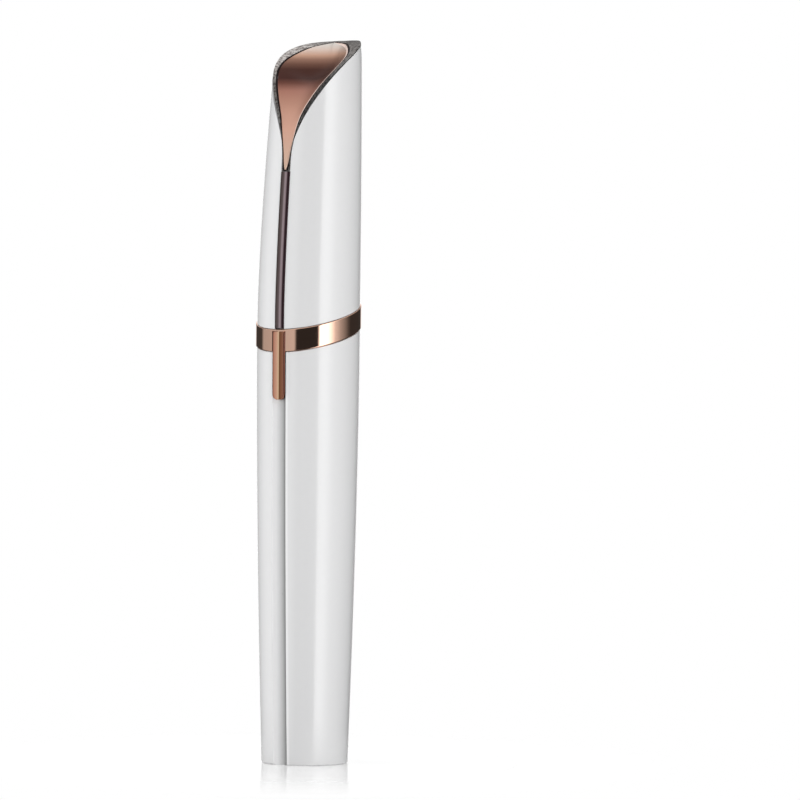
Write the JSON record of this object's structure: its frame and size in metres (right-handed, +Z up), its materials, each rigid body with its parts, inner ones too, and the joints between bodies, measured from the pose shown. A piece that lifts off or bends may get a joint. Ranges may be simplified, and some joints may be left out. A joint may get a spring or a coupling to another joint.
{
  "type": "electric eyebrow trimmer",
  "caption": "Slim pen-shaped electric eyebrow trimmer in white gloss plastic with a scooped slanted cap, rose gold trim ring and slide switch, standing on its base.",
  "frame": {"origin": "centre of the flat base of the handle, on the handle's axis", "axes": "+Z up along the handle's axis towards the cap; -Y is the front, with the slide switch, the groove and the scoop; +X is on the right of someone who looks at its front"},
  "size_m": [0.022, 0.0232, 0.1507],
  "materials": {
    "white_gloss": "polished",
    "rose_gold": "polished rose gold plating",
    "gun_metal": "polished dark plating",
    "grainy_taupe": "fine grainy satin",
    "frosted_lens": "frosted, lit from inside",
    "blush_metal": "pink gold plating",
    "grey_plastic": "moulded",
    "black_plastic": "moulded",
    "board_green": "solder mask",
    "bright_steel": "bright",
    "brass": "satin",
    "battery_wrap": "plain film",
    "red_wire": "insulation",
    "black_wire": "insulation",
    "seal_rubber": "smooth"
  },
  "bodies": {
    "handle": {"handle_shell": "white_gloss", "trim_ring": "rose_gold", "neck_collar": "rose_gold", "head_barrel": "rose_gold", "battery": "battery_wrap", "battery_cap": "brass", "battery_tube": "grey_plastic", "battery_wire": "red_wire", "board_carrier": "grey_plastic", "board_screw_left": "bright_steel", "board_screw_right": "bright_steel", "circuit_board": "board_green", "motor_can": "bright_steel", "motor_cradle": "grey_plastic", "motor_end_cap": "black_plastic", "motor_terminal_left": "brass", "motor_terminal_right": "brass", "motor_wire_black": "black_wire", "motor_wire_red": "red_wire", "negative_strip": "bright_steel", "positive_contact": "bright_steel", "slide_switch_body": "black_plastic"},
    "cap": {"cap_shell": "white_gloss", "cap_liner": "grey_plastic", "cap_stripe": "gun_metal", "scoop_rim": "grainy_taupe", "scoop_inlay": "rose_gold"},
    "switch": {"switch_knob": "rose_gold", "switch_slider": "black_plastic"},
    "rotor": {"motor_shaft": "bright_steel", "drive_coupling": "black_plastic", "cutter_spindle": "bright_steel", "cutter_blades": "bright_steel"},
    "head": {"head_cover": "rose_gold", "spindle_bush": "brass", "light_board": "board_green", "light": "frosted_lens", "lens_ring": "frosted_lens", "tip_guard": "blush_metal"},
    "door": {"battery_door": "white_gloss", "door_seal": "seal_rubber", "battery_spring": "bright_steel"}
  },
  "joints": [
    {"name": "cap_pull", "type": "slide", "parent": "handle", "child": "cap", "axis": [0, 0, 1], "range_m": [0, 0.06]},
    {"name": "switch_slide", "type": "slide", "parent": "handle", "child": "switch", "axis": [0, 0, -1], "range_m": [0, 0.002]},
    {"name": "cutter_spin", "type": "hinge", "parent": "handle", "child": "rotor", "pos_m": [0, 0, 0.1172], "axis": [0, 0, 1], "continuous": true},
    {"name": "head_twist", "type": "hinge", "parent": "handle", "child": "head", "pos_m": [0, 0, 0.1203], "axis": [0, 0, 1], "range_deg": [0, 40]},
    {"name": "door_twist", "type": "hinge", "parent": "handle", "child": "door", "pos_m": [0, 0, 0], "axis": [0, 0, 1], "range_deg": [0, 90]}
  ]
}
